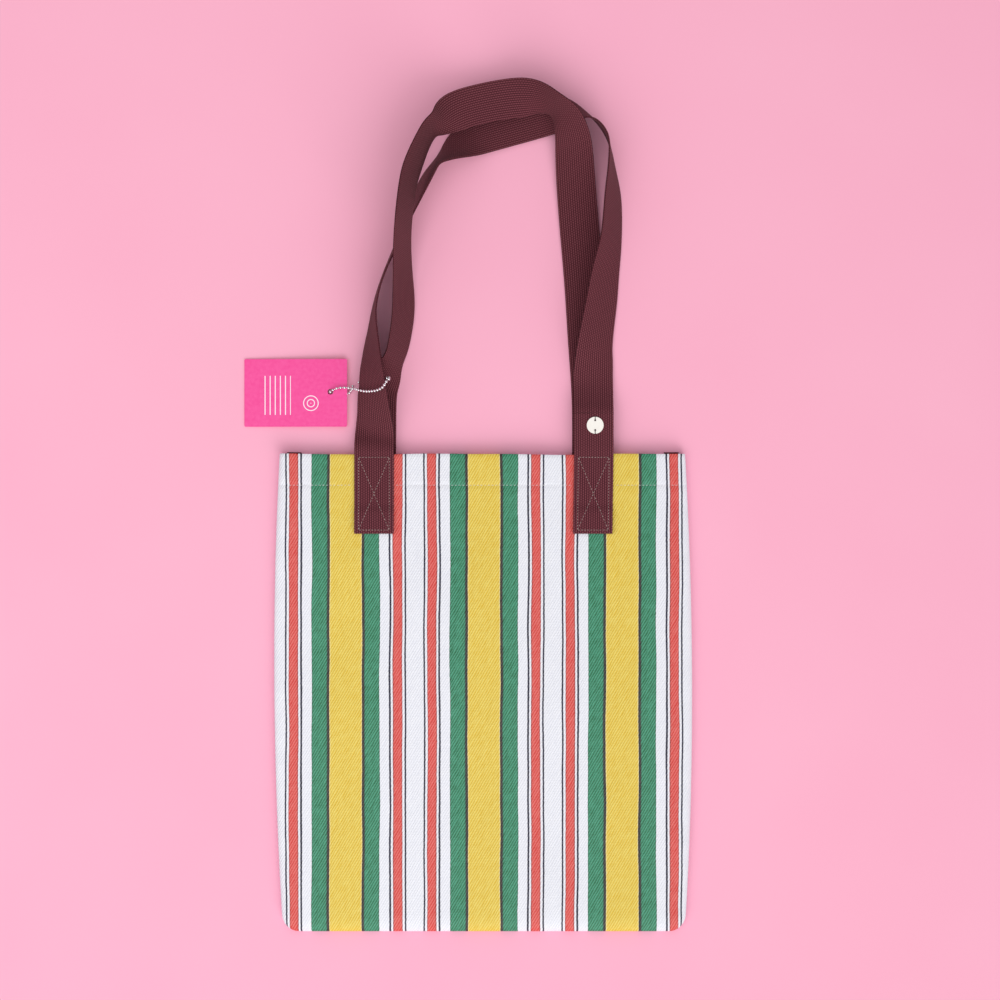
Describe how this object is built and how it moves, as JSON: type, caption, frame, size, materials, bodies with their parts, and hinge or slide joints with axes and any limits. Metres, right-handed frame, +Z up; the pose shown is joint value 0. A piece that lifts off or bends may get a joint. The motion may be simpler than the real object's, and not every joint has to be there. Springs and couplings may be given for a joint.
{
  "type": "tote bag",
  "caption": "Open-topped tote bag of striped woven cloth with long webbing shoulder handles and a card tag on a ball chain, lying flat.",
  "frame": {"origin": "middle of the back panel, on the surface that the bag lies on", "axes": "+X to the right across the bag, +Y from the foot towards the mouth and handles, +Z up out of the front panel"},
  "size_m": [0.367, 0.6953, 0.0663],
  "materials": {
    "striped_cloth": "matte",
    "handle_webbing": "matte",
    "binding_tape": "matte",
    "tack_thread": "matte",
    "disc_metal": "satin",
    "chain_metal": "polished",
    "tag_card": "matte"
  },
  "bodies": {
    "bag": {"back_panel": "striped_cloth", "front_panel": "striped_cloth", "left_seam_binding": "binding_tape", "right_seam_binding": "binding_tape", "front_handle_left_end": "handle_webbing", "front_handle_right_end": "handle_webbing", "back_handle_left_end": "handle_webbing", "back_handle_right_end": "handle_webbing"},
    "mouth": {"front_panel_centre": "striped_cloth"},
    "handles": {"front_handle": "handle_webbing", "back_handle": "handle_webbing", "metal_disc": "disc_metal", "disc_threads": "tack_thread", "chain_round_strap": "chain_metal", "chain_connector": "chain_metal"},
    "tag_chain": {"chain_to_tag": "chain_metal"},
    "tag": {"swing_tag": "tag_card"}
  },
  "joints": [
    {"name": "mouth_lift", "type": "hinge", "parent": "bag", "child": "mouth", "pos_m": [0, -0.1803, 0.0095], "axis": [1, 0, 0], "range_deg": [0, 3.5]},
    {"name": "handle_swing", "type": "hinge", "parent": "bag", "child": "handles", "pos_m": [0, 0.1964, 0.01125], "axis": [1, 0, 0], "range_deg": [0, 90]},
    {"name": "chain_swing", "type": "hinge", "parent": "handles", "child": "tag_chain", "pos_m": [-0.1052, 0.2515, 0.0086], "axis": [0, 1, 0], "range_deg": [0, 90]},
    {"name": "tag_swivel", "type": "hinge", "parent": "tag_chain", "child": "tag", "pos_m": [-0.12571, 0.2466, 0.003], "axis": [-0.0379, 0, 0.9993], "range_deg": [-15, 15]}
  ]
}
